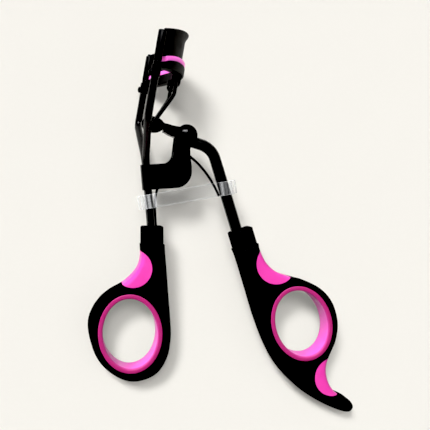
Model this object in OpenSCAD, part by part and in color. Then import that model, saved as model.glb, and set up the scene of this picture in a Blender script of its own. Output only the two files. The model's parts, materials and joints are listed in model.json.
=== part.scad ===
// Scissor-handled eyelash curler, lying on its side on a flat surface.
// Tool axes: X across the handles, Y towards the jaws, Z out of the handles' mid-plane,
// with the pivot's centre at the origin. Head axes: the same, leaned over by head_lean,
// so that Y runs along the two guide rods.

/* [Head] */
// Lean of the guide rods from the handles' long axis, degrees
head_lean = 10; // [0:0.5:14]
// Half the distance between the two guide rods' centres
rod_half_gap = 16.5; // [15.5:0.25:18]
// Diameter of the guide rods
rod_d = 2.25; // [2:0.05:2.3]
// How far the middle of the upper jaw's arc stands out from the rods
arc_rise = 8.5; // [7.5:0.05:9]
// Thickness of the upper jaw's plate
plate_t = 0.45; // [0.4:0.05:0.8]
// Height of the upper jaw's plate along the rods
plate_h = 7.8; // [6.5:0.1:8]
// Slope of the upper jaw's top edge, rise per millimetre towards the middle of the arc
top_slope = 0.34; // [0.25:0.01:0.4]
// Slope of its lower edge, where it meets the pad
meet_slope = 0.2; // [0.1:0.01:0.25]

/* [Lower jaw] */
// Width of the channel that holds the pad
channel_w = 3.0; // [2.8:0.1:3.2]
// Height of the channel
channel_h = 2.7; // [2.5:0.1:3]
// Slope of the channel's edges, rise per millimetre towards the middle of the arc
channel_slope = 0.27; // [0.2:0.01:0.3]
// Height of the pad above the channel's rim
pad_proud = 1.8; // [1.5:0.1:2]

/* [Linkage] */
// Diameter of the link's wire
link_d = 1.2; // [1:0.1:1.3]
// Diameter of the loose hole at the lever's tip
hook_hole_d = 2.3; // [2.2:0.05:2.5]
// Diameter of the pivot rivet's shank
pivot_d = 2.4; // [2:0.1:2.8]
// Diameter of the lever's round arm
lever_d = 3.55; // [3:0.05:3.7]
// Diameter of the return spring's wire
spring_wire_d = 0.8; // [0.6:0.1:0.9]

/* [Handles] */
// Thickness of the grips
grip_t = 8; // [7:0.5:9]
// Half-width and half-height of the fixed finger hole
fixed_hole = [8.15, 10.55]; // [6:0.05:11]
// Half-width and half-height of the moving finger hole
moving_hole = [8.4, 10.85]; // [6:0.05:11]
// Thickness of the soft ring in each finger hole
liner_t = 1.45; // [1.2:0.05:1.8]
// Width of the clear retaining band
band_w = 4.2; // [3.5:0.1:5]

/* [Hidden] */
$fn = 64;

// Clearances: pieces that slide or turn on each other, and pieces that only lie together
run_gap = 0.06;
lie_gap = 0.04;
// How much slimmer a wire's straights are than its bends, and how far they run into them
hair = 0.004;
lap = 0.03;
far = 60;

// Guide rods, in head axes
rod_r = rod_d / 2;
rod_x = -13.6;
tip_r = rod_r - 0.4;
rod_top = 25.4;
shoulder_y = 16.95;
bend_y = 1.8;
knuckle_r = rod_r + 0.03;
knuckle_lo = 17;
knuckle_hi = 25.7;

// The jaws' arc, in head axes
arc_r = (pow(rod_half_gap, 2) + pow(arc_rise, 2)) / (2 * arc_rise);
arc_x = rod_x + arc_rise - arc_r;
rod_angle = asin(rod_half_gap / arc_r);
plate_mid_r = arc_r - plate_t / 2;
lip_proud = 0.8;
lip_h = 1;
// Heights of the sloping edges, where the arc passes slope_x
slope_x = -10;
pad_top = 19.8;
rim_y = pad_top - pad_proud;
channel_y = rim_y - channel_h;
wall_t = 0.4;
web_t = 0.5;
eyelet_lo = 12.7;
eyelet_hi = 15.9;
nose_h = 1.9;
eyelet_r = rod_r + 0.27;
eyelet_nose = [-1.15, 0.92];
pad_head = 1.4;
// Jaw link
link_r = link_d / 2;
lug_z = 5;
lug_t = 0.7;
lug_r = 1.35;
shoulder_r = 1.5;
link_top = [-6.3, 14.3];
hook = [-9.9, 3.7];

// Hinge bracket, in tool axes
rod_z = rod_r + 0.03;
bend_low = [-12.3, -7.1];
rod_end = [-9.6, -42];
sheet_t = 0.45;
cheek_in = rod_z + rod_r + 0.03;
cheek_out = cheek_in + sheet_t;
ear_r = 3.25;
boss_in = cheek_in - run_gap;
pivot_r = pivot_d / 2;
dome_r = 2.55;
dome_h = 0.85;
coil_mid = [-1.9, -6.4];
coil_r = 1.8;
coil_turns = 2;
spring_r = spring_wire_d / 2;
spring_end = [10.45, -18.45];
spring_foot = [-8.7, -35.5, -0.4];
exit_fall = 33;

// Lever, in tool axes
lever_r = lever_d / 2;
lever_corner = [8.2, -3.75];
lever_end = [20.72, -44];
lever_lean = atan2(lever_end[0] - lever_corner[0], lever_corner[1] - lever_end[1]);
tip_t = 1.6;
neck_t = 3;
hub_r = 2.9;

// Grips: outlines as smooth curves through these points, in tool axes
fixed_points = [[-6.95, -33], [-6.3, -41], [-5.7, -49.6], [-5.2, -56.5], [-5.1, -61.4],
    [-6.3, -67.6], [-10, -72.6], [-16.6, -74.3], [-22.7, -71.7], [-27.3, -66.5],
    [-29.7, -58.6], [-29.2, -54], [-26.8, -49.8], [-23.5, -46.8], [-18.8, -44.2],
    [-15.4, -40.8], [-14.05, -37.5], [-13.85, -33]];
moving_points = [[15.2, -35.24], [16.7, -39.6], [19.1, -47.4], [21.8, -56.2], [25.1, -64.9],
    [29, -72.1], [34.2, -78.2], [40, -82.7], [46.6, -86.4], [52.2, -88.4], [54.2, -87],
    [53, -84.6], [48.5, -82], [45.9, -78.6], [44.9, -74.4], [45.6, -70.7], [48.1, -65],
    [48.8, -59], [47.1, -52.9], [43.7, -48.6], [39, -45.8], [34.4, -44.4], [28.8, -42.5],
    [25.3, -39.7], [23.3, -36.2], [22.17, -33.07]];
fixed_ring = [-17.35, -59.6];
fixed_ring_turn = 5;
moving_ring = [36.5, -58.8];
moving_ring_turn = 22;
thumb_pad = [-16.4, -40.1, 5.7];
upper_pad = [28.1, -39.5, 6.6];
tail_pad = [47, -76.4, 6.2];
pad_skin = 0.1;
curve_steps = 6;
core_top = 27.5;
core_w = 6.6;
core_t = 6.8;
core_l = 5.5;
moving_core_w = 7.2;
tang_w = 4.8;
moving_tang_w = 6.2;
tang_t = 5;
tang_l = 11.5;
moving_top = [17.05, -28.9];

// Retaining band, in tool axes: middles of its two round ends
band_left = [-11.3, -20];
band_right = [12.5, -16];
band_out = 3.4;
band_t = 1.04;

// How it lies: the three points that touch the table, as [x, y, z] in tool axes
touch_bend = [-13.1, 4, -rod_half_gap - rod_r + 0.28];
touch_ring = [-16.6, -74, -grip_t / 2];
touch_tail = [52.5, -88.3, -grip_t / 2];
stand_at = [12.61, 28.45];

// ---- Vectors and curves ----

function unit(v) = v / norm(v);
function lean_to_tool(p) = [
    p[0] * cos(head_lean) + p[1] * sin(head_lean),
    p[1] * cos(head_lean) - p[0] * sin(head_lean)];
function tool_to_lean(p) = [
    p[0] * cos(head_lean) - p[1] * sin(head_lean),
    p[1] * cos(head_lean) + p[0] * sin(head_lean)];
function spline_at(a, b, c, d, t) = 0.5 * (2 * b + (c - a) * t
    + (2 * a - 5 * b + 4 * c - d) * t * t + (3 * b - a - 3 * c + d) * t * t * t);
function spline(p) = concat([for (i = [0 : len(p) - 2]) for (k = [0 : curve_steps - 1])
    spline_at(p[max(i - 1, 0)], p[i], p[i + 1], p[min(i + 2, len(p) - 1)], k / curve_steps)],
    [p[len(p) - 1]]);
function arc(c, r, from, to, steps) = [for (i = [0 : steps])
    let (a = from + (to - from) * i / steps) c + r * [cos(a), sin(a)]];
function ellipse(c, r, turn) = [for (i = [0 : 5 : 355])
    let (p = [r[0] * cos(i), r[1] * sin(i)])
    c + [p[0] * cos(turn) - p[1] * sin(turn), p[0] * sin(turn) + p[1] * cos(turn)]];
function sloped(y, x, slope) = y + slope * (x - slope_x);

// The table's normal and the two axes along it, in tool axes
table_up = unit(cross(touch_tail - touch_bend, touch_ring - touch_bend));
table_z = table_up[2] < 0 ? -table_up : table_up;
table_x = unit([1, 0, 0] - table_z[0] * table_z);
table_y = cross(table_z, table_x);

// ---- Shared shapes ----

module on_table() {
    m = [
        [table_x[0], table_x[1], table_x[2], -stand_at[0]],
        [table_y[0], table_y[1], table_y[2], stand_at[1]],
        [table_z[0], table_z[1], table_z[2], -table_z * touch_ring],
        [0, 0, 0, 1]];
    multmatrix(m) children();
}

module in_head() {
    rotate([0, 0, -head_lean]) children();
}

// Moves a shape made along +Z to start at a and point towards b
module aim(a, b) {
    w = unit(b - a);
    side = abs(w[2]) > 0.9 ? [1, 0, 0] : [0, 0, 1];
    u = unit(cross(side, w));
    v = cross(w, u);
    multmatrix([[u[0], v[0], w[0], a[0]], [u[1], v[1], w[1], a[1]], [u[2], v[2], w[2], a[2]],
        [0, 0, 0, 1]]) children();
}

module rod(a, b, r) {
    aim(a, b) cylinder(h = norm(b - a), r = r);
}

// A wire of radius r through the points, bent to radius bend at each inner one; the straights
// are a hair slimmer than the bends and run on into them, so that they join cleanly
module wire(points, r, bend) {
    last = len(points) - 1;
    ways = [for (i = [0 : last - 1]) unit(points[i + 1] - points[i])];
    turns = [for (i = [1 : last - 1]) acos(ways[i - 1] * ways[i])];
    cut = concat([0], [for (t = turns) bend * tan(t / 2) - lap], [0]);
    for (i = [0 : last - 1])
        rod(points[i] + cut[i] * ways[i], points[i + 1] - cut[i + 1] * ways[i], r - hair);
    for (i = [1 : last - 1]) elbow(points[i], ways[i - 1], ways[i], turns[i - 1], r, bend);
}

module elbow(corner, way_in, way_out, turn, r, bend) {
    inward = unit(way_out - (way_in * way_out) * way_in);
    axis = cross(way_in, inward);
    centre = corner - bend * tan(turn / 2) * way_in + bend * inward;
    multmatrix([[-inward[0], way_in[0], axis[0], centre[0]],
        [-inward[1], way_in[1], axis[1], centre[1]],
        [-inward[2], way_in[2], axis[2], centre[2]], [0, 0, 0, 1]])
        rotate_extrude(angle = turn) translate([bend, 0]) circle(r);
}

// Band between two sloping planes, in head axes; lo and hi are [height, slope]
module sloped_slab(lo, hi) {
    linear_extrude(far, center = true)
        polygon([for (end = [[-30, lo], [10, lo], [10, hi], [-30, hi]])
            [end[0], sloped(end[1][0], end[0], end[1][1])]]);
}

// A curved wall standing along the rods, cut off at half_angle on each side
module curved_wall(r_in, r_out, half_angle) {
    reach = [far * cos(half_angle), far * sin(half_angle)];
    translate([arc_x, 0, 0]) rotate([-90, 0, 0]) linear_extrude(far)
        intersection() {
            difference() {
                circle(r_out, $fn = 128);
                circle(r_in, $fn = 128);
            }
            polygon([[0, 0], reach, [far, reach[1]], [far, -reach[1]], [reach[0], -reach[1]]]);
        }
}

module jaw_band(r_in, r_out, half_angle, lo, hi) {
    intersection() {
        curved_wall(r_in, r_out, half_angle);
        sloped_slab(lo, hi);
    }
}

module rod_sleeve(side, r, lo, hi) {
    translate([rod_x, lo, side * rod_half_gap]) rotate([-90, 0, 0]) cylinder(h = hi - lo, r = r);
}

function to_3d(p, z) = [p[0], p[1], z];

// ---- Head ----

module upper_jaw() {
    color("#15161a") in_head() difference() {
        union() {
            jaw_band(arc_r - plate_t, arc_r, rod_angle - 2.8, [pad_top + lie_gap, meet_slope],
                [pad_top + plate_h, top_slope]);
            jaw_band(arc_r - plate_t, arc_r + lip_proud, rod_angle - 5.5,
                [pad_top + plate_h - lip_h, top_slope], [pad_top + plate_h, top_slope]);
            for (side = [-1, 1]) rod_sleeve(side, knuckle_r, knuckle_lo, knuckle_hi);
        }
        for (side = [-1, 1]) rod_sleeve(side, tip_r + 0.02, knuckle_lo - 1, knuckle_hi + 1);
    }
}

module frame_rod(side) {
    top = to_3d(lean_to_tool([rod_x, shoulder_y]), side * rod_half_gap);
    bend = to_3d(lean_to_tool([rod_x, bend_y]), side * rod_half_gap);
    wire([top, bend, to_3d(bend_low, side * rod_z), to_3d(rod_end, side * rod_z)], rod_r, 3.5);
    in_head() rod_sleeve(side, tip_r, shoulder_y - 0.5, rod_top);
}

module left_frame_rod() {
    color("#15161a") frame_rod(-1);
}

module right_frame_rod() {
    color("#15161a") frame_rod(1);
}

module lower_jaw() {
    mid_r = plate_mid_r;
    end_angle = rod_angle - 3.6;
    color("#15161a") in_head() {
        difference() {
            union() {
                jaw_band(mid_r - channel_w / 2, mid_r + channel_w / 2, rod_angle - 3.4,
                    [channel_y, channel_slope], [rim_y, channel_slope]);
                jaw_band(mid_r - 1, mid_r + 1, end_angle, [channel_y - 0.2, 0], [channel_y + 0.6, 0]);
            }
            jaw_band(mid_r - channel_w / 2 + wall_t, mid_r + channel_w / 2 - wall_t,
                rod_angle - 6, [channel_y + web_t, channel_slope], [rim_y + 1, channel_slope]);
            for (side = [-1, 1]) rod_sleeve(side, rod_r + run_gap, channel_y - 2, rim_y + 2);
        }
        for (side = [-1, 1]) difference() {
            union() {
                rod_sleeve(side, eyelet_r, eyelet_lo, eyelet_hi);
                translate([rod_x + eyelet_nose[0], eyelet_lo, side * rod_half_gap])
                    rotate([-90, 0, 0]) cylinder(h = nose_h, r = eyelet_nose[1]);
            }
            rod_sleeve(side, rod_r + run_gap, eyelet_lo - 1, eyelet_hi + 1);
        }
        for (side = [-1, 1]) translate([0, 0, side * lug_z]) linear_extrude(lug_t, center = true)
            difference() {
                union() {
                    translate(link_top) circle(lug_r);
                    polygon([for (x = [-lug_r, lug_r]) link_top + [x, 0],
                        for (x = [lug_r, -lug_r]) [link_top[0] + x,
                            sloped(channel_y + web_t / 2, link_top[0] + x, channel_slope)]]);
                }
                translate(link_top) circle(link_r + 0.07);
            }
    }
}

module silicone_pad() {
    half = channel_w / 2 - wall_t - lie_gap;
    color("#f06fb4") in_head() {
        jaw_band(plate_mid_r - half, plate_mid_r + half, rod_angle - 6.3,
            [channel_y + web_t + lie_gap, channel_slope], [pad_top, meet_slope]);
        jaw_band(plate_mid_r - pad_head, plate_mid_r + pad_head, rod_angle - 5.6,
            [rim_y + lie_gap, channel_slope], [pad_top, meet_slope]);
    }
}

// ---- Linkage ----

module jaw_link() {
    top = lean_to_tool(link_top);
    elbow_top = lean_to_tool([link_top[0], 10.9]);
    knee = lean_to_tool([link_top[0] - 0.5, 9.5]);
    arm_z = lug_z + lug_t / 2 + link_r + 0.1;
    hook_z = tip_t / 2 + link_r + 0.35;
    near_tip = hook + 2.2 * unit(knee - hook);
    color("#15161a") wire([to_3d(top, lug_z - lug_t), to_3d(top, arm_z),
        to_3d(elbow_top, arm_z), to_3d(knee, arm_z - 0.6),
        to_3d(near_tip, hook_z + 0.4), to_3d(hook, hook_z), to_3d(hook, -hook_z),
        to_3d(near_tip, -hook_z - 0.4), to_3d(knee, 0.6 - arm_z), to_3d(elbow_top, -arm_z),
        to_3d(top, -arm_z),
        to_3d(top, lug_t - lug_z)], link_r, link_r + 0.02);
    // Shoulders that keep the lever's tip in the middle of the hook
    color("#15161a") for (side = [-1, 1]) translate(to_3d(hook, side * (tip_t / 2 + 0.25)))
        cylinder(h = 0.3, r = shoulder_r, center = true);
}

module lever_profile() {
    polygon(concat([[-8, 1], [-6.6, 0.8], [-5.2, 0]], arc([0, 0], hub_r, 200, 300, 8),
        arc([0, 0], hub_r, 330, 480, 12), [[-4.3, 3], [-5.4, 3.35], [-6.5, 3.55], [-8, 4.6]]));
}

module lever_arm() {
    color("#15161a") difference() {
        union() {
            linear_extrude(tip_t, center = true)
                polygon(ellipse([hook[0] - 0.15, hook[1] - 0.5], [3.5, 2.45], -8));
            linear_extrude(neck_t, center = true) intersection() {
                lever_profile();
                translate([-7, -far / 2]) square(far);
            }
            cylinder(h = 2 * boss_in, r = hub_r - 0.3, center = true);
            wire([[1, -1.5, 0], to_3d(lever_corner, 0), to_3d(lever_end, 0)], lever_r, 6.5);
        }
        cylinder(h = far, r = pivot_r + run_gap, center = true);
        translate(to_3d(hook, 0)) cylinder(h = far, r = hook_hole_d / 2, center = true);
    }
}

module bracket_outline() {
    polygon(concat([[-16, -9.2]], arc([-7.2, -5.3], 3.3, 270, 360, 9), arc([0, 0], ear_r, 172, -20, 20),
        [[1.5, -3], [1, -4.2], [1.05, -6], [1.5, -9.8]], arc([-3.6, -10.9], 5.1, 10, -90, 12),
        [[-16, -16.85]]));
}

// The folded sheet's section across the two rods: out to half height h, round end r
module fold_section(r, h) {
    for (side = [-1, 1]) translate([0, side * rod_z]) circle(r);
    translate([-r, -rod_z]) square([2 * r, 2 * rod_z]);
    translate([0, -h]) square([25, 2 * h]);
}

module hinge_bracket() {
    low = to_3d(rod_end, 0);
    up = unit(to_3d(bend_low, 0) - low);
    start = to_3d(bend_low, 0) - 14 * up;
    color("#101114") difference() {
        intersection() {
            linear_extrude(far, center = true) bracket_outline();
            along_rods(start, up) fold_section(rod_r + 0.04 + sheet_t, cheek_out);
        }
        along_rods(start, up) fold_section(rod_r + 0.04, cheek_in);
        cylinder(h = far, r = pivot_r + 0.02, center = true);
    }
}

module along_rods(start, up) {
    side = cross(up, [0, 0, 1]);
    multmatrix([[side[0], 0, up[0], start[0]], [side[1], 0, up[1], start[1]],
        [side[2], -1, up[2], start[2]], [0, 0, 0, 1]])
        translate([0, 0, -2]) linear_extrude(30) children();
}

module pivot_rivet() {
    ball_r = (pow(dome_r, 2) + pow(dome_h, 2)) / (2 * dome_h);
    color("#1b1c20") {
        cylinder(h = 2 * cheek_out + 0.1, r = pivot_r, center = true);
        for (side = [-1, 1]) scale([1, 1, side]) translate([0, 0, cheek_out + lie_gap])
            intersection() {
                cylinder(h = dome_h, r = dome_r);
                translate([0, 0, dome_h - ball_r]) sphere(ball_r, $fn = 128);
            }
    }
}

// Half a turn of the coil, clockwise from the left (or the right) side, climbing by rise
module half_turn(z, rise, from_left, r, over) {
    tilt = atan2(rise, 2 * coil_r);
    way = from_left ? 1 : -1;
    translate(to_3d(coil_mid, z + rise / 2)) rotate([0, -way * tilt, 0])
        rotate([0, 0, from_left ? -over : 180 - over])
            rotate_extrude(angle = 180 + 2 * over)
                translate([coil_r / cos(tilt), 0]) circle(r);
}

module return_spring() {
    pitch = 2 * spring_r + 0.08;
    z_low = -(coil_turns + 0.2) * pitch / 2;
    z_high = z_low + coil_turns * pitch;
    left = coil_mid - [coil_r, 0];
    exit_way = [cos(exit_fall), -sin(exit_fall)];
    exit = coil_mid + coil_r * [sin(exit_fall), cos(exit_fall)];
    color("#0c0d10") {
        for (i = [0 : 2 * coil_turns - 1])
            half_turn(z_low + i * pitch / 2, pitch / 2, i % 2 == 0,
                i % 2 == 0 ? spring_r : spring_r - hair, i % 2 == 0 ? 0 : 1);
        translate(to_3d(coil_mid, z_high)) rotate([0, 0, 90 - exit_fall])
            rotate_extrude(angle = 90 + exit_fall) translate([coil_r, 0]) circle(spring_r);
        wire([to_3d(exit - lap * exit_way, z_high), to_3d(exit + 8.27 * exit_way, z_high - 0.3),
            to_3d(spring_end, 0)], spring_r, 20);
        wire([to_3d(left + [0, lap], z_low), to_3d(left - [0.1, 3], z_low), [-8.6, -15.5, -0.6],
            [-9.6, -21, -0.4], spring_foot], spring_r, 2.5);
    }
}

// ---- Retaining band ----

module band_section(r) {
    l = norm(band_right - band_left);
    circle(r);
    translate([l, 0]) circle(r);
    translate([0, -r]) square([l, 2 * r]);
}

module retaining_band() {
    turn = atan2(band_right[1] - band_left[1], band_right[0] - band_left[0]);
    color("#e9e9ec", 0.45) translate(to_3d(band_left, 0)) rotate([0, 0, turn]) rotate([90, 0, 0])
        linear_extrude(band_w, center = true) difference() {
            band_section(band_out);
            band_section(band_out - band_t);
        }
}

// ---- Handles ----

// A core's collar with rounded edges, from its top down to the seam, and its tang below
module core(w, tang) {
    round = 1.3;
    l = core_l - lie_gap;
    hull() for (x = [-1, 1]) for (z = [-1, 1])
        translate([x * (w / 2 - round), -l, z * (core_t / 2 - round)]) rotate([-90, 0, 0])
            cylinder(h = l, r = round, $fn = 32);
    translate([-tang / 2, -core_l - tang_l, -tang_t / 2]) cube([tang, tang_l + 0.5, tang_t]);
}

module tang_pocket(tang) {
    gap = [lie_gap, lie_gap, lie_gap];
    translate([-tang / 2, -core_l - tang_l, -tang_t / 2] - gap)
        cube([tang, tang_l + 3, tang_t] + 2 * gap);
}

module at_fixed_core() {
    translate([-10.45, -core_top, 0]) children();
}

module at_moving_core() {
    translate(to_3d(moving_top, 0)) rotate([0, 0, lever_lean]) children();
}

module fixed_grip_core() {
    color("#1a1b1f") difference() {
        at_fixed_core() core(core_w, tang_w);
        for (side = [-1, 1])
            rod(to_3d(bend_low, side * rod_z), to_3d(rod_end, side * rod_z) - [0, 0.1, 0], rod_r + 0.03);
        rod([-9.6, -21, -0.4], spring_foot - [0, 0.1, 0], spring_r + 0.03);
    }
}

module fixed_grip() {
    color("#1a1b1f") difference() {
        linear_extrude(grip_t, center = true) difference() {
            polygon(spline(fixed_points));
            polygon(ellipse(fixed_ring, fixed_hole + [liner_t, liner_t], fixed_ring_turn));
            translate([thumb_pad[0], thumb_pad[1]]) circle(thumb_pad[2]);
        }
        at_fixed_core() tang_pocket(tang_w);
    }
}

module ring_liner(centre, hole, turn) {
    outer = hole + [liner_t - lie_gap, liner_t - lie_gap];
    linear_extrude(grip_t + 2 * pad_skin, center = true) difference() {
        polygon(ellipse(centre, outer, turn));
        polygon(ellipse(centre, hole, turn));
    }
}

module fixed_ring_liner() {
    color("#ee5fae") ring_liner(fixed_ring, fixed_hole, fixed_ring_turn);
}

module edge_pad(points, pad) {
    linear_extrude(grip_t + 2 * pad_skin, center = true) intersection() {
        polygon(spline(points));
        translate([pad[0], pad[1]]) circle(pad[2] - lie_gap);
    }
}

module fixed_thumb_pad() {
    color("#f47cc0") difference() {
        edge_pad(fixed_points, thumb_pad);
        at_fixed_core() tang_pocket(tang_w);
    }
}

module moving_grip_core() {
    color("#1a1b1f") difference() {
        at_moving_core() core(moving_core_w, moving_tang_w);
        rod(to_3d(lever_corner, 0), to_3d(lever_end, 0) + [0.05, -0.1, 0], lever_r + 0.03);
    }
}

module moving_grip() {
    color("#1a1b1f") difference() {
        linear_extrude(grip_t, center = true) difference() {
            polygon(spline(moving_points));
            polygon(ellipse(moving_ring, moving_hole + [liner_t, liner_t], moving_ring_turn));
            for (pad = [upper_pad, tail_pad]) translate([pad[0], pad[1]]) circle(pad[2]);
        }
        at_moving_core() tang_pocket(moving_tang_w);
    }
}

module moving_ring_liner() {
    color("#ee5fae") ring_liner(moving_ring, moving_hole, moving_ring_turn);
}

module moving_upper_pad() {
    color("#f47cc0") difference() {
        edge_pad(moving_points, upper_pad);
        at_moving_core() tang_pocket(moving_tang_w);
    }
}

module moving_tail_pad() {
    color("#f47cc0") edge_pad(moving_points, tail_pad);
}

on_table() upper_jaw();
on_table() left_frame_rod();
on_table() right_frame_rod();
on_table() lower_jaw();
on_table() silicone_pad();
on_table() jaw_link();
on_table() hinge_bracket();
on_table() pivot_rivet();
on_table() lever_arm();
on_table() return_spring();
on_table() retaining_band();
on_table() fixed_grip_core();
on_table() fixed_grip();
on_table() fixed_ring_liner();
on_table() fixed_thumb_pad();
on_table() moving_grip_core();
on_table() moving_grip();
on_table() moving_ring_liner();
on_table() moving_upper_pad();
on_table() moving_tail_pad();
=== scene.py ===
"""Looks of the eyelash curler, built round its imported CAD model."""

import json
import math

import bmesh
import bpy
from mathutils import Matrix, Quaternion, Vector


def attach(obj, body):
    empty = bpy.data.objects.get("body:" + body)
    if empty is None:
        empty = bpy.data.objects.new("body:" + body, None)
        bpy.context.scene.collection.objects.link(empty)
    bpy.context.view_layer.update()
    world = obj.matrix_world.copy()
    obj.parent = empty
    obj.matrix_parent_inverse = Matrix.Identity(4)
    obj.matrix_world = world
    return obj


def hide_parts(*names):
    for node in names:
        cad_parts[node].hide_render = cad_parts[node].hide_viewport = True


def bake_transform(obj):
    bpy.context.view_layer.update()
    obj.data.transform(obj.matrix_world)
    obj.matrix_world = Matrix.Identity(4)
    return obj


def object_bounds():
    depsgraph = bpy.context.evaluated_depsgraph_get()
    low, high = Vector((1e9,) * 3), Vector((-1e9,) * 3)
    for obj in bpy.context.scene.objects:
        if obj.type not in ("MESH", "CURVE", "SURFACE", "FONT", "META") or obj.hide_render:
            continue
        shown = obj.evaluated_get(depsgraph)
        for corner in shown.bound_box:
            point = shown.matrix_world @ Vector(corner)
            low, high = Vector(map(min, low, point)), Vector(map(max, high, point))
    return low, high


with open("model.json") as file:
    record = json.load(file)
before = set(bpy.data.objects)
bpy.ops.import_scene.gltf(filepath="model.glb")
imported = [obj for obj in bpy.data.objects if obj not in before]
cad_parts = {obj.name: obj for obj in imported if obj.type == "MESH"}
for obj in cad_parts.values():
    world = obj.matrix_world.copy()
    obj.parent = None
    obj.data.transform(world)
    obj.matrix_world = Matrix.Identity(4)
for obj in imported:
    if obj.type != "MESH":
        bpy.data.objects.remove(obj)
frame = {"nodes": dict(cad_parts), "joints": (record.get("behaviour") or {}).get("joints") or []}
CAD_LO, CAD_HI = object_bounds()
NODES = frame["nodes"]
JOINTS = {j["name"]: j for j in frame["joints"]}
MM = 0.001

# ---- The tool's own axes, from the record's joints ----
# W runs along the pivot towards the viewer, V towards the head, U across the handles;
# the guide rods lean from V by LEAN, and HEAD is the frame that leans with them.
LEAN = math.radians(10)
PIVOT = Vector(JOINTS["handle_pivot"]["pos_m"])
W = Vector(JOINTS["handle_pivot"]["axis"]).normalized()
RODS = -Vector(JOINTS["jaw_slide"]["axis"]).normalized()
V = (Quaternion(W, LEAN) @ RODS).normalized()
V = (V - V.dot(W) * W).normalized()
U = V.cross(W)


def axes(u, v, w, origin):
    return Matrix.Translation(origin) @ Matrix((u, v, w)).transposed().to_4x4()


TOOL = axes(U, V, W, PIVOT) @ Matrix.Scale(MM, 4)
HEAD = TOOL @ Matrix.Rotation(-LEAN, 4, "Z")


# ---- Shapes, in millimetres along the tool's or the head's axes ----


def spline(points, steps=6):
    """A smooth curve through the points, the same one that the grips' CAD outlines follow."""
    n = len(points)
    out = []
    for i in range(n - 1):
        a, b, c, d = (Vector(points[min(max(i + k, 0), n - 1)]) for k in (-1, 0, 1, 2))
        for k in range(steps):
            t = k / steps
            out.append(0.5 * (2 * b + (c - a) * t + (2 * a - 5 * b + 4 * c - d) * t ** 2
                              + (3 * b - a - 3 * c + d) * t ** 3))
    out.append(Vector(points[-1]))
    return out


def ellipse(centre, radii, turn, steps=96):
    c, s = math.cos(math.radians(turn)), math.sin(math.radians(turn))
    out = []
    for i in range(steps):
        x = radii[0] * math.cos(2 * math.pi * i / steps)
        y = radii[1] * math.sin(2 * math.pi * i / steps)
        out.append(Vector((centre[0] + x * c - y * s, centre[1] + x * s + y * c)))
    return out


def rounded_box(w, h, r, steps=6):
    """Corner-rounded rectangle about the middle, anticlockwise."""
    out = []
    for k, (sx, sy) in enumerate(((1, 1), (-1, 1), (-1, -1), (1, -1))):
        for i in range(steps + 1):
            a = math.radians(90 * k + 90 * i / steps)
            out.append(Vector((sx * (w / 2 - r) + r * math.cos(a),
                               sy * (h / 2 - r) + r * math.sin(a))))
    return out


def area(loop):
    return 0.5 * sum(a.x * b.y - b.x * a.y for a, b in zip(loop, loop[1:] + loop[:1]))


def inward(loop):
    """Unit normals into the material of an anticlockwise outline (or a clockwise hole)."""
    out = []
    n = len(loop)
    for i in range(n):
        d = (loop[(i + 1) % n] - loop[i - 1]).normalized()
        out.append(Vector((-d.y, d.x)))
    return out


def room(loop, normals):
    """How far each point may move in before it meets the rest of the outline."""
    out = []
    for p, n in zip(loop, normals):
        best = 1e9
        for q in loop:
            d = q - p
            side = d.dot(n)
            if side > 1e-6:
                best = min(best, d.length_squared / (2 * side))
        out.append(best)
    return out


def loft(bm, loops, along=False):
    """Joins loops of points by quads; along also joins the last loop to the first."""
    rings = [[bm.verts.new(p) for p in loop] for loop in loops]
    for a, b in zip(rings, rings[1:] + rings[:1] if along else rings[1:]):
        n = len(a)
        for i in range(n):
            j = (i + 1) % n
            bm.faces.new((a[i], a[j], b[j], b[i]))
    return rings


def slab(outline, holes, half, edge, hole_edge, steps=5):
    """A flat piece 2 * half thick, its rims rounded to radius edge where the shape has room."""
    bm = bmesh.new()
    lids = [[], []]
    for loop, r in [(outline, edge)] + [(h, hole_edge) for h in holes]:
        hole = loop is not outline
        if (area(loop) > 0) == hole:
            loop = loop[::-1]
        normals = inward(loop)
        give = room(loop, normals)
        radii = [min(r, 0.85 * g) for g in give]
        layers = []
        for side in (-1, 1):
            for k in range(steps + 1):
                t = math.radians(90 * (k if side > 0 else steps - k) / steps)
                layers.append([
                    (*(p + n * q * (1 - math.cos(t))), side * (half - q + q * math.sin(t)))
                    for p, n, q in zip(loop, normals, radii)])
        rings = loft(bm, layers)
        lids[0].append(rings[0])
        lids[1].append(rings[-1])
    for lid in lids:
        edges = []
        for ring in lid:
            for a, b in zip(ring, ring[1:] + ring[:1]):
                edges.append(bm.edges.get((a, b)))
        bmesh.ops.triangle_fill(bm, edges=edges, use_beauty=True, use_dissolve=False)
    return bm


def cylinder(a, b, r, steps=64):
    """A round bar from a to b."""
    a, b = Vector(a), Vector(b)
    w = (b - a).normalized()
    u = w.orthogonal().normalized()
    v = w.cross(u)
    bm = bmesh.new()
    ring = [r * (math.cos(2 * math.pi * i / steps) * u + math.sin(2 * math.pi * i / steps) * v)
            for i in range(steps)]
    ends = loft(bm, [[a + p for p in ring], [b + p for p in ring]])
    bm.faces.new(ends[0])
    bm.faces.new(ends[1])
    return bm


def block(lo, hi):
    bm = bmesh.new()
    bmesh.ops.create_cube(bm, size=1)
    for v in bm.verts:
        v.co = Vector([a + (b - a) * (c + 0.5) for a, b, c in zip(lo, hi, v.co)])
    return bm


def to_object(bm, name, at=TOOL):
    bmesh.ops.remove_doubles(bm, verts=bm.verts, dist=1e-5)
    bmesh.ops.recalc_face_normals(bm, faces=bm.faces)
    bmesh.ops.transform(bm, matrix=at, verts=bm.verts)
    me = bpy.data.meshes.new(name)
    bm.to_mesh(me)
    bm.free()
    o = bpy.data.objects.new(name, me)
    bpy.context.scene.collection.objects.link(o)
    return o


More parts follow.
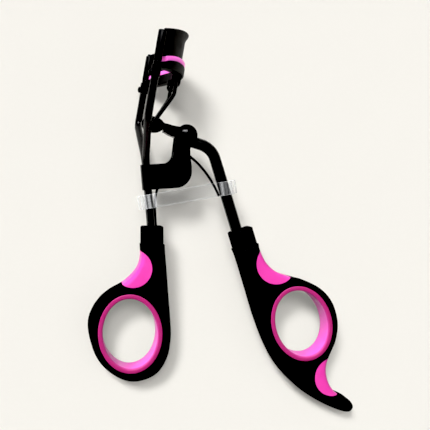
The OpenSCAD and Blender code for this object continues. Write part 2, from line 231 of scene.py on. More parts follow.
def combine(o, bm, operation, at=TOOL):
    """Adds the shape bm to the object, takes it away, or keeps what they share."""
    tool = to_object(bm, "cutter", at)
    mod = o.modifiers.new("combine", "BOOLEAN")
    mod.operation = operation
    mod.solver = "EXACT"
    mod.object = tool
    bpy.context.view_layer.update()
    got = o.evaluated_get(bpy.context.evaluated_depsgraph_get())
    me = bpy.data.meshes.new_from_object(got)
    me.name = o.name
    o.modifiers.clear()
    o.data = me
    bpy.data.objects.remove(tool)
    return o


def finish_piece(o, material_of, body, slot, *nodes, smooth=38):
    o.data.materials.clear()
    o.data.materials.append(material_of)
    for f in o.data.polygons:
        f.use_smooth = True
        f.material_index = 0
    o.data.set_sharp_from_angle(angle=math.radians(smooth))
    if nodes:
        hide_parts(*nodes)
    if body:
        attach(o, body)
    return o


def sweep(path, section):
    """A tube: the section (a list of 2-D points) carried along the 3-D path without twisting."""
    n = len(path)
    ways = []
    for i in range(n):
        ways.append((path[min(i + 1, n - 1)] - path[max(i - 1, 0)]).normalized())
    u = ways[0].orthogonal().normalized()
    loops = []
    for p, w in zip(path, ways):
        u = (u - u.dot(w) * w).normalized()
        v = w.cross(u)
        loops.append([p + q[0] * u + q[1] * v for q in section])
    bm = bmesh.new()
    rings = loft(bm, loops)
    bm.faces.new(rings[0])
    bm.faces.new(rings[-1])
    return bm


def circle(r, steps=20):
    return [(r * math.cos(2 * math.pi * i / steps), r * math.sin(2 * math.pi * i / steps))
            for i in range(steps)]


# ---- Materials ----


def material(name, base, roughness):
    m = bpy.data.materials.new(name)
    m.use_nodes = True
    bsdf = m.node_tree.nodes["Principled BSDF"]
    bsdf.inputs["Base Color"].default_value = (*base, 1)
    bsdf.inputs["Roughness"].default_value = roughness
    return m, m.node_tree, bsdf


def coords(tree):
    """Coordinates that stay with the piece: its own, in metres."""
    return tree.nodes.new("ShaderNodeTexCoord").outputs["Object"]


def noise(tree, where, per_m, detail=4.0, rough=0.55, distortion=0.0):
    n = tree.nodes.new("ShaderNodeTexNoise")
    tree.links.new(where, n.inputs["Vector"])
    n.inputs["Scale"].default_value = per_m
    n.inputs["Detail"].default_value = detail
    n.inputs["Roughness"].default_value = rough
    n.inputs["Distortion"].default_value = distortion
    return n.outputs["Fac"]


def ramp(tree, value, stops):
    r = tree.nodes.new("ShaderNodeValToRGB")
    tree.links.new(value, r.inputs["Fac"])
    while len(r.color_ramp.elements) < len(stops):
        r.color_ramp.elements.new(0.5)
    for e, (at, c) in zip(r.color_ramp.elements, stops):
        e.position = at
        e.color = (*c, 1) if hasattr(c, "__len__") else (c, c, c, 1)
    return r.outputs["Color"]


def bump(tree, bsdf, height, strength, distance, after=None):
    b = tree.nodes.new("ShaderNodeBump")
    b.inputs["Strength"].default_value = strength
    b.inputs["Distance"].default_value = distance
    tree.links.new(height, b.inputs["Height"])
    if after:
        tree.links.new(after, b.inputs["Normal"])
    tree.links.new(b.outputs["Normal"], bsdf.inputs["Normal"])
    return b.outputs["Normal"]


def coated_metal(name, base, rough_lo, rough_hi, shine=0.06):
    """Black lacquer over steel: glossy, slightly orange-peeled, dulled in patches."""
    m, t, b = material(name, base, rough_lo)
    at = coords(t)
    patches = noise(t, at, 260, 3)
    t.links.new(ramp(t, patches, [(0.35, rough_lo), (0.7, rough_hi)]), b.inputs["Roughness"])
    tone = noise(t, at, 700, 5)
    lift = tuple(c * 1.9 + 0.0006 for c in base)
    t.links.new(ramp(t, tone, [(0.3, base), (0.75, lift)]), b.inputs["Base Color"])
    b.inputs["Specular IOR Level"].default_value = shine
    b.inputs["Coat Weight"].default_value = 0.3 * shine
    b.inputs["Coat Roughness"].default_value = 0.12
    soft = t.nodes.new("ShaderNodeBevel")
    soft.samples = 6
    soft.inputs["Radius"].default_value = 0.0003
    peel = bump(t, b, noise(t, at, 900, 2), 0.10, 0.00012, soft.outputs["Normal"])
    bump(t, b, noise(t, at, 5200, 2), 0.06, 0.00003, peel)
    return m


def moulded_plastic(name, base, roughness):
    """Satin black moulding with a fine spark-eroded grain."""
    m, t, b = material(name, base, roughness)
    at = coords(t)
    tone = noise(t, at, 420, 4)
    lift = tuple(c * 1.6 + 0.0004 for c in base)
    t.links.new(ramp(t, tone, [(0.3, base), (0.8, lift)]), b.inputs["Base Color"])
    rub = noise(t, at, 120, 3)
    t.links.new(ramp(t, rub, [(0.35, roughness - 0.07), (0.7, roughness + 0.08)]),
                b.inputs["Roughness"])
    # Seen edge on, the grain hides the gloss
    turned_away = t.nodes.new("ShaderNodeLayerWeight")
    turned_away.inputs["Blend"].default_value = 0.5
    t.links.new(ramp(t, turned_away.outputs["Facing"], [(0.4, 0.02), (0.62, 0.0)]),
                b.inputs["Specular IOR Level"])
    bump(t, b, noise(t, at, 4200, 3, 0.6), 0.16, 0.00006)
    return m


def soft_touch(name, base, deep, roughness, glow):
    """Soft pink rubber or silicone: slightly translucent, finely matt."""
    m, t, b = material(name, base, roughness)
    at = coords(t)
    tone = noise(t, at, 180, 4)
    t.links.new(ramp(t, tone, [(0.3, deep), (0.7, base)]), b.inputs["Base Color"])
    b.inputs["Subsurface Weight"].default_value = glow
    b.inputs["Subsurface Radius"].default_value = (1.0, 0.35, 0.6)
    b.inputs["Subsurface Scale"].default_value = 0.0012
    b.inputs["Sheen Weight"].default_value = 0.03
    b.inputs["Sheen Roughness"].default_value = 0.4
    b.inputs["Specular IOR Level"].default_value = 0.2
    bump(t, b, noise(t, at, 3600, 3, 0.6), 0.14, 0.00006)
    return m


def clear_elastic(name):
    """Clear moulded elastic: see-through face on, with painted highlights on its rims, and whiter in
    streaks beside the limbs.
    """
    m, t, b = material(name, (0.93, 0.94, 0.95), 0.12)
    at = coords(t)
    haze = noise(t, at, 240, 4, 0.6, 0.6)
    t.links.new(ramp(t, haze, [(0.3, 0.06), (0.75, 0.2)]), b.inputs["Roughness"])
    bump(t, b, noise(t, at, 520, 3), 0.10, 0.0001)
    clear = t.nodes.new("ShaderNodeBsdfTransparent")
    clear.inputs["Color"].default_value = (0.985, 0.987, 0.99, 1)
    # Painted highlight: seen edge on, the band turns into a lit white surface, so its rims look
    # bright
    rim = t.nodes.new("ShaderNodeLayerWeight")
    rim.inputs["Blend"].default_value = 0.5
    rim_highlight_share = ramp(t, rim.outputs["Facing"], [(0.0, 0.0), (0.4, 0.04), (0.8, 0.8)])
    # Whiter only beside either limb, in streaks along the limb
    across = t.nodes.new("ShaderNodeVectorMath")
    across.operation = "DOT_PRODUCT"
    t.links.new(at, across.inputs[0])
    across.inputs[1].default_value = BAND_ALONG
    marks = t.nodes.new("ShaderNodeTexNoise")
    marks.noise_dimensions = "1D"
    marks.inputs["Scale"].default_value = 1100
    marks.inputs["Detail"].default_value = 2
    t.links.new(across.outputs["Value"], marks.inputs["W"])
    streak = ramp(t, marks.outputs["Fac"], [(0.42, 0.05), (0.62, 0.75)])
    white = None
    for middle, reach in BAND_LIMBS:
        off = t.nodes.new("ShaderNodeMath")
        off.operation = "COMPARE"
        off.inputs[1].default_value = middle
        off.inputs[2].default_value = reach
        t.links.new(across.outputs["Value"], off.inputs[0])
        if white is None:
            white = off.outputs["Value"]
        else:
            both = t.nodes.new("ShaderNodeMath")
            both.operation = "MAXIMUM"
            t.links.new(white, both.inputs[0])
            t.links.new(off.outputs["Value"], both.inputs[1])
            white = both.outputs["Value"]
    limb_streaks = t.nodes.new("ShaderNodeMath")
    limb_streaks.operation = "MULTIPLY"
    t.links.new(white, limb_streaks.inputs[0])
    t.links.new(streak, limb_streaks.inputs[1])
    dim = t.nodes.new("ShaderNodeMath")
    dim.operation = "MULTIPLY_ADD"
    t.links.new(limb_streaks.outputs["Value"], dim.inputs[0])
    dim.inputs[1].default_value = 0.3
    t.links.new(rim_highlight_share, dim.inputs[2])
    mix = t.nodes.new("ShaderNodeMixShader")
    t.links.new(dim.outputs["Value"], mix.inputs["Fac"])
    t.links.new(clear.outputs["BSDF"], mix.inputs[1])
    t.links.new(b.outputs["BSDF"], mix.inputs[2])
    t.links.new(mix.outputs["Shader"], t.nodes["Material Output"].inputs["Surface"])
    return m


BAND_LEFT, BAND_RIGHT = TOOL @ Vector((-11.3, -20, 0)), TOOL @ Vector((12.5, -16, 0))
BAND_ALONG = (BAND_RIGHT - BAND_LEFT).normalized()
BAND_LIMBS = [(BAND_LEFT.dot(BAND_ALONG), 0.0021), (BAND_RIGHT.dot(BAND_ALONG), 0.0022)]
BLACK_METAL = coated_metal("black_coated_metal", (0.0012, 0.0012, 0.0014), 0.2, 0.34, 0.12)
BLACK_SHEET = coated_metal("black_coated_sheet", (0.0011, 0.0011, 0.0013), 0.4, 0.55, 0.045)
SPRING_STEEL = coated_metal("black_spring_wire", (0.0011, 0.0011, 0.0013), 0.22, 0.36)
RIVET_BLACK = coated_metal("black_polished_rivet", (0.0012, 0.0012, 0.0016), 0.16, 0.22, 0.1)
BLACK_GRIP = moulded_plastic("black_moulded_grip", (0.0012, 0.0012, 0.0014), 0.42)
BLACK_CORE = moulded_plastic("black_moulded_core", (0.0013, 0.0013, 0.0015), 0.3)


def paint_rim_shade(m):
    """Painted shade: the ring's flat rims, far from the handles' mid-plane, are given a darker pink
    than its thick wall.
    """
    t = m.node_tree
    b = t.nodes["Principled BSDF"]
    up = t.nodes.new("ShaderNodeVectorMath")
    up.operation = "DOT_PRODUCT"
    t.links.new(coords(t), up.inputs[0])
    up.inputs[1].default_value = W
    off = t.nodes.new("ShaderNodeMath")
    off.operation = "SUBTRACT"
    t.links.new(up.outputs["Value"], off.inputs[0])
    off.inputs[1].default_value = W.dot(PIVOT)
    size = t.nodes.new("ShaderNodeMath")
    size.operation = "ABSOLUTE"
    t.links.new(off.outputs["Value"], size.inputs[0])
    far = t.nodes.new("ShaderNodeMapRange")
    far.inputs["From Min"].default_value = 0.0032
    far.inputs["From Max"].default_value = 0.0041
    t.links.new(size.outputs["Value"], far.inputs["Value"])
    mix = t.nodes.new("ShaderNodeMix")
    mix.data_type = "RGBA"
    t.links.new(far.outputs["Result"], mix.inputs["Factor"])
    now = b.inputs["Base Color"].links[0].from_socket
    t.links.new(now, mix.inputs["A"])
    # Painted shade: the darker pink that the flat rims get
    mix.inputs["B"].default_value = (0.40, 0.024, 0.155, 1)
    t.links.new(mix.outputs["Result"], b.inputs["Base Color"])
    return m


PINK_LINER = soft_touch("pink_soft_liner", (0.98, 0.12, 0.62), (0.92, 0.10, 0.57), 0.4, 0.12)
# The liners' flat rims get painted shade
paint_rim_shade(PINK_LINER)
PINK_PAD = soft_touch("pink_soft_pad", (0.76, 0.060, 0.40), (0.69, 0.045, 0.345), 0.42, 0.12)
SILICONE = soft_touch("pink_silicone", (1.0, 0.16, 0.70), (0.97, 0.13, 0.64), 0.34, 0.3)
CLEAR = clear_elastic("clear_elastic")

for node, m in {
    "upper_jaw": BLACK_SHEET, "left_frame_rod": BLACK_METAL, "right_frame_rod": BLACK_METAL,
    "lower_jaw": BLACK_SHEET, "silicone_pad": SILICONE, "jaw_link": BLACK_METAL,
    "hinge_bracket": BLACK_SHEET, "pivot_rivet": RIVET_BLACK, "lever_arm": BLACK_METAL,
    "return_spring": SPRING_STEEL, "retaining_band": CLEAR, "fixed_grip_core": BLACK_CORE,
    "fixed_grip": BLACK_GRIP, "fixed_ring_liner": PINK_LINER, "fixed_thumb_pad": PINK_PAD,
    "moving_grip_core": BLACK_CORE, "moving_grip": BLACK_GRIP, "moving_ring_liner": PINK_LINER,
    "moving_upper_pad": PINK_PAD, "moving_tail_pad": PINK_PAD,
}.items():
    o = NODES[node]
    o.data.materials.clear()
    o.data.materials.append(m)


# ---- Pieces ----

GRIP_HALF = 4.0
GRIP_EDGE = 1.35
FIXED_OUTLINE = [
    (-6.95, -33), (-6.3, -41), (-5.7, -49.6), (-5.2, -56.5), (-5.1, -61.4),
    (-6.3, -67.6), (-10, -72.6), (-16.6, -74.3), (-22.7, -71.7), (-27.3, -66.5),
    (-29.7, -58.6), (-29.2, -54), (-26.8, -49.8), (-23.5, -46.8), (-18.8, -44.2),
    (-15.4, -40.8), (-14.05, -37.5), (-13.85, -33)]
MOVING_OUTLINE = [
    (15.2, -35.24), (16.7, -39.6), (19.1, -47.4), (21.8, -56.2), (25.1, -64.9),
    (29, -72.1), (34.2, -78.2), (40, -82.7), (46.6, -86.4), (52.2, -88.4), (54.2, -87),
    (53, -84.6), (48.5, -82), (45.9, -78.6), (44.9, -74.4), (45.6, -70.7), (48.1, -65),
    (48.8, -59), (47.1, -52.9), (43.7, -48.6), (39, -45.8), (34.4, -44.4), (28.8, -42.5),
    (25.3, -39.7), (23.3, -36.2), (22.17, -33.07)]
LINER_T = 1.45
LIE_GAP = 0.04
PAD_SINK = 0.03
# The cores' tangs: how thick, how deep below the collar's top, and the cutters' own height
TANG_T = 5.0
TANG_DEEP = 17.0
CUT_HALF = 9


def densify(loop, step=0.6):
    """Splits the long straight runs of an outline, so that its rim can follow the bends."""
    out = []
    for a, b in zip(loop, loop[1:] + loop[:1]):
        n = max(1, int((b - a).length / step))
        out += [a.lerp(b, k / n) for k in range(n)]
    return out


def grip(name, body, outline, centre, hole, turn, pads, top):
    """A moulded grip, split along its soft pads; top is the placement of its collar."""
    rim = densify(spline(outline))
    seat = ellipse(centre, (hole[0] + LINER_T, hole[1] + LINER_T), turn, 144)
    shell = to_object(slab(rim, [seat], GRIP_HALF, GRIP_EDGE, 0.25), name + "_shell")
    wide, thick = top["tang"] / 2 + LIE_GAP, TANG_T / 2 + LIE_GAP
    lo, hi = (-wide, -TANG_DEEP - LIE_GAP, -thick), (wide, -2.0, thick)
    for x, y, r, label, node in pads:
        ends = (x, y, -CUT_HALF), (x, y, CUT_HALF)
        combine(shell, cylinder(*ends, r, 128), "DIFFERENCE")
        pad = to_object(slab(rim, [], GRIP_HALF - PAD_SINK, GRIP_EDGE, 0.2), label)
        combine(pad, cylinder(*ends, r - LIE_GAP - PAD_SINK, 128), "INTERSECT")
        if label != "tail_soft_pad":
            combine(pad, block(lo, hi), "DIFFERENCE", TOOL @ top["at"])
        soften(pad, 0.16)
        finish_piece(pad, PINK_PAD, body, "pink_soft", node)
        pad.visible_diffuse = False
    combine(shell, block(lo, hi), "DIFFERENCE", TOOL @ top["at"])
    soften(shell, 0.14)
    finish_piece(shell, BLACK_GRIP, body, "black_grip", name)
    liner(name, body, centre, hole, turn)


def soften(o, width):
    mod = o.modifiers.new("soft edges", "BEVEL")
    mod.width = width * MM
    mod.segments = 2
    mod.limit_method = "ANGLE"
    mod.angle_limit = math.radians(50)
    mod.use_clamp_overlap = True


def liner(name, body, centre, hole, turn):
    """The soft ring: a closed ring whose section has a generously rounded inner mouth."""
    half, lip, back = GRIP_HALF + 0.1, 0.55, 0.2
    section = []
    for k in range(7):
        t = math.radians(15 * k)
        section.append((lip - lip * math.sin(t), half - lip + lip * math.cos(t)))
    inner = section + [(s, -z) for s, z in section[::-1]]
    out = LINER_T - LIE_GAP
    outer = []
    for k in range(4):
        t = math.radians(30 * k)
        outer.append((out - back + back * math.sin(t), half - back + back * math.cos(t)))
    ring = inner + [(s, -z) for s, z in outer] + [(s, z) for s, z in outer[::-1]]
    loops = []
    for s, z in ring:
        loops.append([(*p, z) for p in ellipse(centre, (hole[0] + s, hole[1] + s), turn, 144)])
    bm = bmesh.new()
    loft(bm, loops, along=True)
    node = name.replace("_grip", "_ring_liner")
    o = to_object(bm, node.replace("liner", "soft_liner"))
    finish_piece(o, PINK_LINER, body, "pink_soft", node)
    o.visible_diffuse = False


def collar(node, body, at, w, tang, bores):
    """The core's collar with softened shoulders, and its tang inside the grip."""
    t, corner, l, shoulder = 6.8, 1.3, 5.46, 0.55
    loops = []
    for k in range(6):
        a = math.radians(90 * k / 5)
        cut = shoulder * (1 - math.sin(a))
        y = -shoulder * (1 - math.cos(a))
        loops.append([(p.x, y, p.y) for p in
                      rounded_box(w - 2 * cut, t - 2 * cut, max(corner - cut, 0.3))])
    for y, cut in ((-l + 0.12, 0), (-l, 0.12)):
        loops.append([(p.x, y, p.y) for p in
                      rounded_box(w - 2 * cut, t - 2 * cut, corner - cut)])
    for y in (-l, -TANG_DEEP):
        loops.append([(p.x, y, p.y) for p in rounded_box(tang, TANG_T, 0.3)])
    bm = bmesh.new()
    rings = loft(bm, loops)
    bm.faces.new(rings[0])
    bm.faces.new(rings[-1])
    o = to_object(bm, node + "_collar", TOOL @ at)
    for a, b, r in bores:
        combine(o, cylinder(a, b, r), "DIFFERENCE")
    finish_piece(o, BLACK_CORE, body, "black_grip", node)


def tool_at(x, y, turn=0.0):
    return Matrix.Translation((x, y, 0)) @ Matrix.Rotation(math.radians(turn), 4, "Z")


LEVER_LEAN = math.degrees(math.atan2(20.72 - 8.2, -3.75 + 44))
FIXED_TOP = {"at": tool_at(-10.45, -27.5), "tang": 4.8}
MOVING_TOP = {"at": tool_at(17.05, -28.9, LEVER_LEAN), "tang": 6.2}

collar("fixed_grip_core", "frame", FIXED_TOP["at"], 6.6, 4.8,
       [((-12.3, -7.1, z), (-9.6, -42.1, z), 1.155) for z in (-1.155, 1.155)])
collar("moving_grip_core", "moving_handle", MOVING_TOP["at"], 7.2, 6.2,
       [((8.2, -3.75, 0), (20.75, -44.1, 0), 1.805)])
grip("fixed_grip", "frame", FIXED_OUTLINE, (-17.35, -59.6), (8.15, 10.55), 5,
     [(-16.4, -40.1, 5.7, "thumb_soft_pad", "fixed_thumb_pad")], FIXED_TOP)
grip("moving_grip", "moving_handle", MOVING_OUTLINE, (36.5, -58.8), (8.4, 10.85), 22,
     [(28.1, -39.5, 6.6, "upper_soft_pad", "moving_upper_pad"),
      (47, -76.4, 6.2, "tail_soft_pad", "moving_tail_pad")], MOVING_TOP)


def clear_band():
    """The moulded band: a flat strip, softly edged, round both limbs."""
    left, right, r, t, w = Vector((-11.3, -20)), Vector((12.5, -16)), 3.4, 1.04, 4.2
    along = (right - left).normalized()
    reach = (right - left).length
    mid = r - t / 2
    path = []
    for k in range(25):
        a = math.radians(90 + 180 * k / 24)
        path.append((mid * math.cos(a), mid * math.sin(a), math.cos(a), math.sin(a)))
    for k in range(1, 16):
        path.append((reach * k / 16, -mid, 0, -1))
    for k in range(25):
        a = math.radians(-90 + 180 * k / 24)
        path.append((reach + mid * math.cos(a), mid * math.sin(a), math.cos(a), math.sin(a)))
    for k in range(1, 16):
        path.append((reach * (1 - k / 16), mid, 0, 1))
    loops = []
    for x, z, nx, nz in path:
        loop = []
        for p in rounded_box(t, w, 0.32, 4):
            px, pz = x + nx * p.x, z + nz * p.x
            spot = left + along * px
            side = Vector((-along.y, along.x)) * p.y
            loop.append((spot.x + side.x, spot.y + side.y, pz))
        loops.append(loop)
    bm = bmesh.new()
    loft(bm, loops, along=True)
    o = to_object(bm, "clear_band")
    finish_piece(o, CLEAR, None, "clear_band", "retaining_band")
    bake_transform(o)


def spring():
    """The return spring: a wire coil with one leg under the lever and one in the handle."""
    r, wire, pitch = 1.8, 0.4, 0.88
    mid = Vector((-1.9, -6.4))
    low = -2.2 * pitch / 2
    turns = 2
    fall = 33
    path = [Vector((-8.7, -35.5, -0.4)), Vector((-8.95, -31.5, -0.4)), Vector((-9.22, -27, -0.4)),
            Vector((-9.45, -22.4, -0.4)), Vector((-9.35, -19.3, -0.45)),
            Vector((-8.75, -16.6, -0.56)), Vector((-7.7, -14.1, -0.66)),
            Vector((-5.9, -11.6, -0.8)), Vector((-4.4, -9.6, -0.93))]
    sweep_deg = 360 * turns + 90 + fall
    steps = 72
    for k in range(steps + 1):
        a = math.radians(180 - sweep_deg * k / steps)
        z = low + min(k / steps * sweep_deg / 360, turns) * pitch
        path.append(Vector((mid.x + r * math.cos(a), mid.y + r * math.sin(a), z)))
    way = Vector((math.cos(math.radians(fall)), -math.sin(math.radians(fall))))
    exit_at = mid + r * Vector((math.sin(math.radians(fall)), math.cos(math.radians(fall))))
    high = low + turns * pitch
    end = Vector((10.45, -18.45, 0))
    leg = exit_at + way
    knee = exit_at + way * 8.9
    for k in range(9):
        t = k / 8
        flat = (1 - t) ** 2 * leg + 2 * t * (1 - t) * knee + t * t * end.to_2d()
        path.append(Vector((*flat, high * (1 - t))))
    o = to_object(sweep(spline(path, 3), circle(wire, 14)), "return_spring_wire")
    finish_piece(o, SPRING_STEEL, None, "painted_black", "return_spring", smooth=50)
    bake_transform(o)


clear_band()
spring()

# The jaws, along the head's axes: an arc about ARC_X, its edges sloping with the height
ROD_X, ROD_GAP, ARC_R = -13.6, 16.5, 20.264
ARC_X = ROD_X + 8.5 - ARC_R
ROD_ANGLE = math.degrees(math.asin(ROD_GAP / ARC_R))
PLATE_T = 0.45
# The far ends of the jaws hang a little lower than the near ones, rise per millimetre
JAW_TILT = 0.027


def slope(height, rise, q):
    return height + rise * (q + 10)


def jaw_arc(profile, half_angle, steps=60):
    """Carries a profile round the jaws' arc; it gives (radius, height) pairs for a place q."""
    loops = []
    for k in range(steps + 1):
        a = math.radians(half_angle) * (2 * k / steps - 1)
        q = ARC_X + ARC_R * math.cos(a)
        loops.append([(ARC_X + r * math.cos(a), h + JAW_TILT * (r * math.sin(a) - ROD_GAP),
                       r * math.sin(a)) for r, h in profile(q, k / steps)])
    bm = bmesh.new()
    rings = loft(bm, loops)
    bm.faces.new(rings[0])
    bm.faces.new(rings[-1])
    return bm


def corner(points, radii, steps=4):
    """Rounds a polygon's corners, each to its own radius."""
    out = []
    n = len(points)
    for i in range(n):
        a, p, b = (Vector(points[(i + k) % n]) for k in (-1, 0, 1))
        r = radii[i]
        u, v = (a - p).normalized(), (b - p).normalized()
        if r <= 0:
            out.append(tuple(p))
            continue
        half = u.angle(v) / 2
        cut = min(r / math.tan(half), 0.48 * (a - p).length, 0.48 * (b - p).length)
        s, e = p + u * cut, p + v * cut
        for k in range(steps + 1):
            t = k / steps
            out.append(tuple((1 - t) ** 2 * s + 2 * t * (1 - t) * p + t * t * e))
    return out


def meeting(q):
    """Height at which the pad meets the plate: flat in the middle, dropping at the ends."""
    return 20.95 - 0.0516 * (q + 5.7) ** 2


def rim_height(q):
    return 19.45 - 0.0525 * (q + 6) ** 2


def turned(x, z, stations, steps=40):
    """A round piece about a line along the rods, through (height, radius) stations."""
    bm = bmesh.new()
    rings = loft(bm, [[(x + p, h, z + q) for p, q in circle(r, steps)] for h, r in stations])
    bm.faces.new(rings[0])
    bm.faces.new(rings[-1])
    return bm


def upper_jaw():
    flare_h, steps = 2.7, 8

    def profile(q, along):
        lo = meeting(q) + LIE_GAP
        hi = slope(27.55, 0.34, q) + 0.42 * (q + 12.9) / 7.8
        lip = 0.78 * min(1, 0.2 + 8 * min(along, 1 - along))
        out = []
        for k in range(steps + 1):
            t = k / steps
            out.append((ARC_R + lip * t * t, hi - flare_h * (1 - t) - 0.12 * (t == 1)))
        crown = [(ARC_R + lip - 0.12, hi), (ARC_R + lip - PLATE_T + 0.12, hi)]
        ins = [(r - PLATE_T, h) for r, h in out[::-1]]
        foot = [(ARC_R - PLATE_T, lo + 0.1), (ARC_R - PLATE_T + 0.1, lo), (ARC_R - 0.1, lo),
                (ARC_R, lo + 0.1)]
        return foot + out + crown + ins

    o = to_object(jaw_arc(profile, ROD_ANGLE - 1.6), "upper_jaw_plate", HEAD)
    for side in (-1, 1):
        z = side * ROD_GAP
        drop = JAW_TILT * (z - ROD_GAP)
        sleeve = turned(ROD_X, z, [(17.0, 1.0), (17.05, 1.09), (17.15, 1.155),
                                   (25.5 + drop, 1.155), (25.63 + drop, 1.09),
                                   (25.7 + drop, 0.98)])
        combine(o, sleeve, "UNION", HEAD)
        combine(o, cylinder((ROD_X, 15.5, z), (ROD_X, 27, z), 0.745, 40), "DIFFERENCE", HEAD)
    finish_piece(o, BLACK_SHEET, "frame", "painted_black", "upper_jaw")


def pad():
    mid = ARC_R - PLATE_T / 2

    def profile(q, along):
        top = meeting(q)
        rim = rim_height(q) + LIE_GAP
        foot = outer_foot(q) + 0.49
        stem, head = 1.06, 1.4
        return corner([(mid - stem, foot), (mid + stem, foot), (mid + stem, rim),
                       (mid + head, rim), (mid + head, top), (mid - head, top),
                       (mid - head, rim), (mid - stem, rim)],
                      [0.2, 0.2, 0.0, 0.2, 0.5, 0.5, 0.2, 0.0])

    o = to_object(jaw_arc(profile, ROD_ANGLE - 6.4), "lash_pad", HEAD)
    soften(o, 0.3)
    finish_piece(o, SILICONE, "clamp", "pink_silicone", "silicone_pad")
    o.visible_diffuse = False


def outer_foot(q):
    return 15.74 + 0.21 * (q + 12.07)


def lower_jaw():
    """The channel: its outer wall is short, its inner wall reaches further down."""
    mid = ARC_R - PLATE_T / 2
    wide, wall = 1.5, 0.4

    def solid(q, along):
        return corner([(mid - wide, outer_foot(q) - 0.45), (mid + wide, outer_foot(q)),
                       (mid + wide, rim_height(q)), (mid - wide, rim_height(q))],
                      [0.4, 0.5, 0.14, 0.14])

    def groove(q, along):
        return [(mid - wide + wall, outer_foot(q) + 0.45), (mid + wide - wall, outer_foot(q) + 0.45),
                (mid + wide - wall, 23), (mid - wide + wall, 23)]

    o = to_object(jaw_arc(solid, ROD_ANGLE - 3.4), "lower_jaw_channel", HEAD)
    combine(o, jaw_arc(groove, ROD_ANGLE - 6.1), "DIFFERENCE", HEAD)
    for side in (-1, 1):
        z = side * ROD_GAP
        combine(o, turned(ROD_X, z, [(12.7, 1.3), (12.8, 1.395), (15.8, 1.395), (15.9, 1.3)]),
                "UNION", HEAD)
        bead = [(13.65 - 0.95 * math.cos(a), 0.3 + 0.62 * math.sin(a) ** 0.7)
                for a in [math.pi * k / 12 for k in range(13)]]
        combine(o, turned(ROD_X - 1.15, z, bead), "UNION", HEAD)
        combine(o, cylinder((ROD_X, 11, z), (ROD_X, 20, z), 1.185, 48), "DIFFERENCE", HEAD)
        lug = [Vector((-6.3 + 1.35 * math.cos(a), 14.3 + 1.35 * math.sin(a)))
               for a in [math.pi + math.pi * k / 16 for k in range(17)]]
        lug += [Vector((-4.95, 16.75)), Vector((-7.65, 16.5))]
        eye = ellipse((-6.3, 14.3), (0.67, 0.67), 0, 32)
        combine(o, slab(lug, [eye], 0.35, 0.1, 0.05), "UNION",
                HEAD @ Matrix.Translation((0, 0, 5 * side)))
    finish_piece(o, BLACK_SHEET, "clamp", "painted_black", "lower_jaw")


upper_jaw()
lower_jaw()
pad()


# ---- Floor, light and camera ----

# How strongly the paper glows by itself
GLOW = 0.212


def floor():
    bm = bmesh.new()
    bmesh.ops.create_grid(bm, x_segments=2, y_segments=2, size=2.0)
    me = bpy.data.meshes.new("floor")
    bm.to_mesh(me)
    bm.free()
    o = bpy.data.objects.new("floor", me)
    bpy.context.scene.collection.objects.link(o)
    o.location.z = CAD_LO.z - 0.00002
    # Pale paper that glows a little, so that the shadow on it stays as soft as it looks
    m, t, b = material("pale_paper", (0.46, 0.448, 0.42), 0.9)
    b.inputs["Specular IOR Level"].default_value = 0.0
    grain = noise(t, coords(t), 900, 3)
    t.links.new(ramp(t, grain, [(0.2, (0.675, 0.657, 0.615)), (0.8, (0.685, 0.667, 0.625))]),
                b.inputs["Base Color"])
    b.inputs["Emission Color"].default_value = (0.947, 0.922, 0.863, 1)
    b.inputs["Emission Strength"].default_value = GLOW
    me.materials.append(m)
    return o


table = floor()

scene = bpy.context.scene
scene.view_settings.view_transform = "Standard"
scene.view_settings.look = "None"
scene.view_settings.use_curve_mapping = True
scene.view_settings.curve_mapping.black_level = (0.012, 0.012, 0.012)
scene.view_settings.curve_mapping.update()

world = bpy.data.worlds.new("studio")
scene.world = world
world.use_nodes = True
wt = world.node_tree
bg = wt.nodes["Background"]
# Dark overhead, paler towards the horizon
sky = wt.nodes.new("ShaderNodeSeparateXYZ")
wt.links.new(wt.nodes.new("ShaderNodeTexCoord").outputs["Generated"], sky.inputs["Vector"])
wt.links.new(ramp(wt, sky.outputs["Z"], [(0.0, 0.22), (0.35, 0.10), (0.75, 0.015)]),
             bg.inputs["Color"])
bg.inputs["Strength"].default_value = 1.0


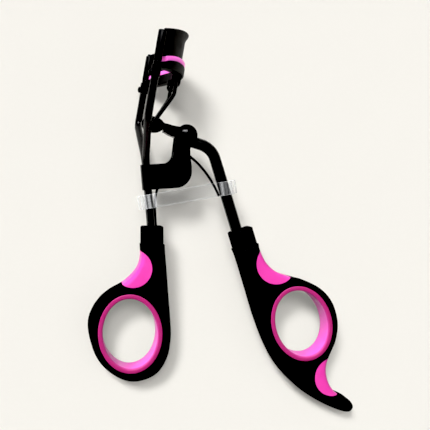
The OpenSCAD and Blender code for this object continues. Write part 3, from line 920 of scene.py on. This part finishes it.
def sun(name, towards, strength, width, glossy):
    """A far, broad light that shines along the given direction."""
    data = bpy.data.lights.new(name, "SUN")
    data.energy = strength
    data.angle = math.radians(width)
    o = bpy.data.objects.new(name, data)
    o.rotation_mode = "QUATERNION"
    o.rotation_quaternion = Vector(towards).to_track_quat("-Z", "Y")
    o.location = (0, 0, 0.5)
    o.visible_glossy = glossy
    scene.collection.objects.link(o)
    return o


def strip(name, at, aim, size, power):
    """A long soft box that only shows as a reflection."""
    data = bpy.data.lights.new(name, "AREA")
    data.shape = "RECTANGLE"
    data.size, data.size_y = size
    data.energy = power
    o = bpy.data.objects.new(name, data)
    back = (at - aim).normalized()
    side = V.cross(back).normalized()
    o.matrix_world = axes(side, back.cross(side), back, at)
    o.visible_diffuse = False
    scene.collection.objects.link(o)
    return o


sun("key", (0.48, -0.50, -1.0), 2.45, 15, False)
sun("top", (0.16, -0.22, -1.0), 0.98, 18, False)
sun("fill", (-0.35, 0.1, -1.0), 0.35, 70, False)
side = sun("side", (0.9, -0.9, -0.55), 3.4, 40, False)
spared = bpy.data.collections.new("lit by the others only")
for o in (table, bpy.data.objects["fixed_grip_shell"], bpy.data.objects["moving_grip_shell"]):
    spared.objects.link(o)
side.light_linking.receiver_collection = spared
for link in spared.collection_objects:
    link.light_linking.link_state = "EXCLUDE"
pad_fill = sun("pad fill", (-0.8, -0.3, -0.7), 1.3, 40, False)
lit_more = bpy.data.collections.new("lit by the pad's own fill")
lit_more.objects.link(bpy.data.objects["lash_pad"])
pad_fill.light_linking.receiver_collection = lit_more
strip("strip", TOOL @ Vector((-60, 330, 400)), TOOL @ Vector((0, -20, 0)), (0.30, 0.10), 4.5)


def camera():
    # The viewer stands in front of the handles' mid-plane, a little to the left of the head
    at = TOOL @ Vector((-31.49, -15.75, 195.89))
    aim = TOOL @ Vector((9.21, -24.35, 0.0))
    back = (at - aim).normalized()
    up = (V - V.dot(back) * back).normalized()
    right = up.cross(back)
    data = bpy.data.cameras.new("camera")
    data.sensor_width = 36
    data.lens = 54.0
    data.clip_start = 0.01
    data.clip_end = 10
    o = bpy.data.objects.new("camera", data)
    o.matrix_world = axes(right, up, back, at)
    scene.collection.objects.link(o)
    scene.camera = o


camera()

bpy.context.view_layer.update()
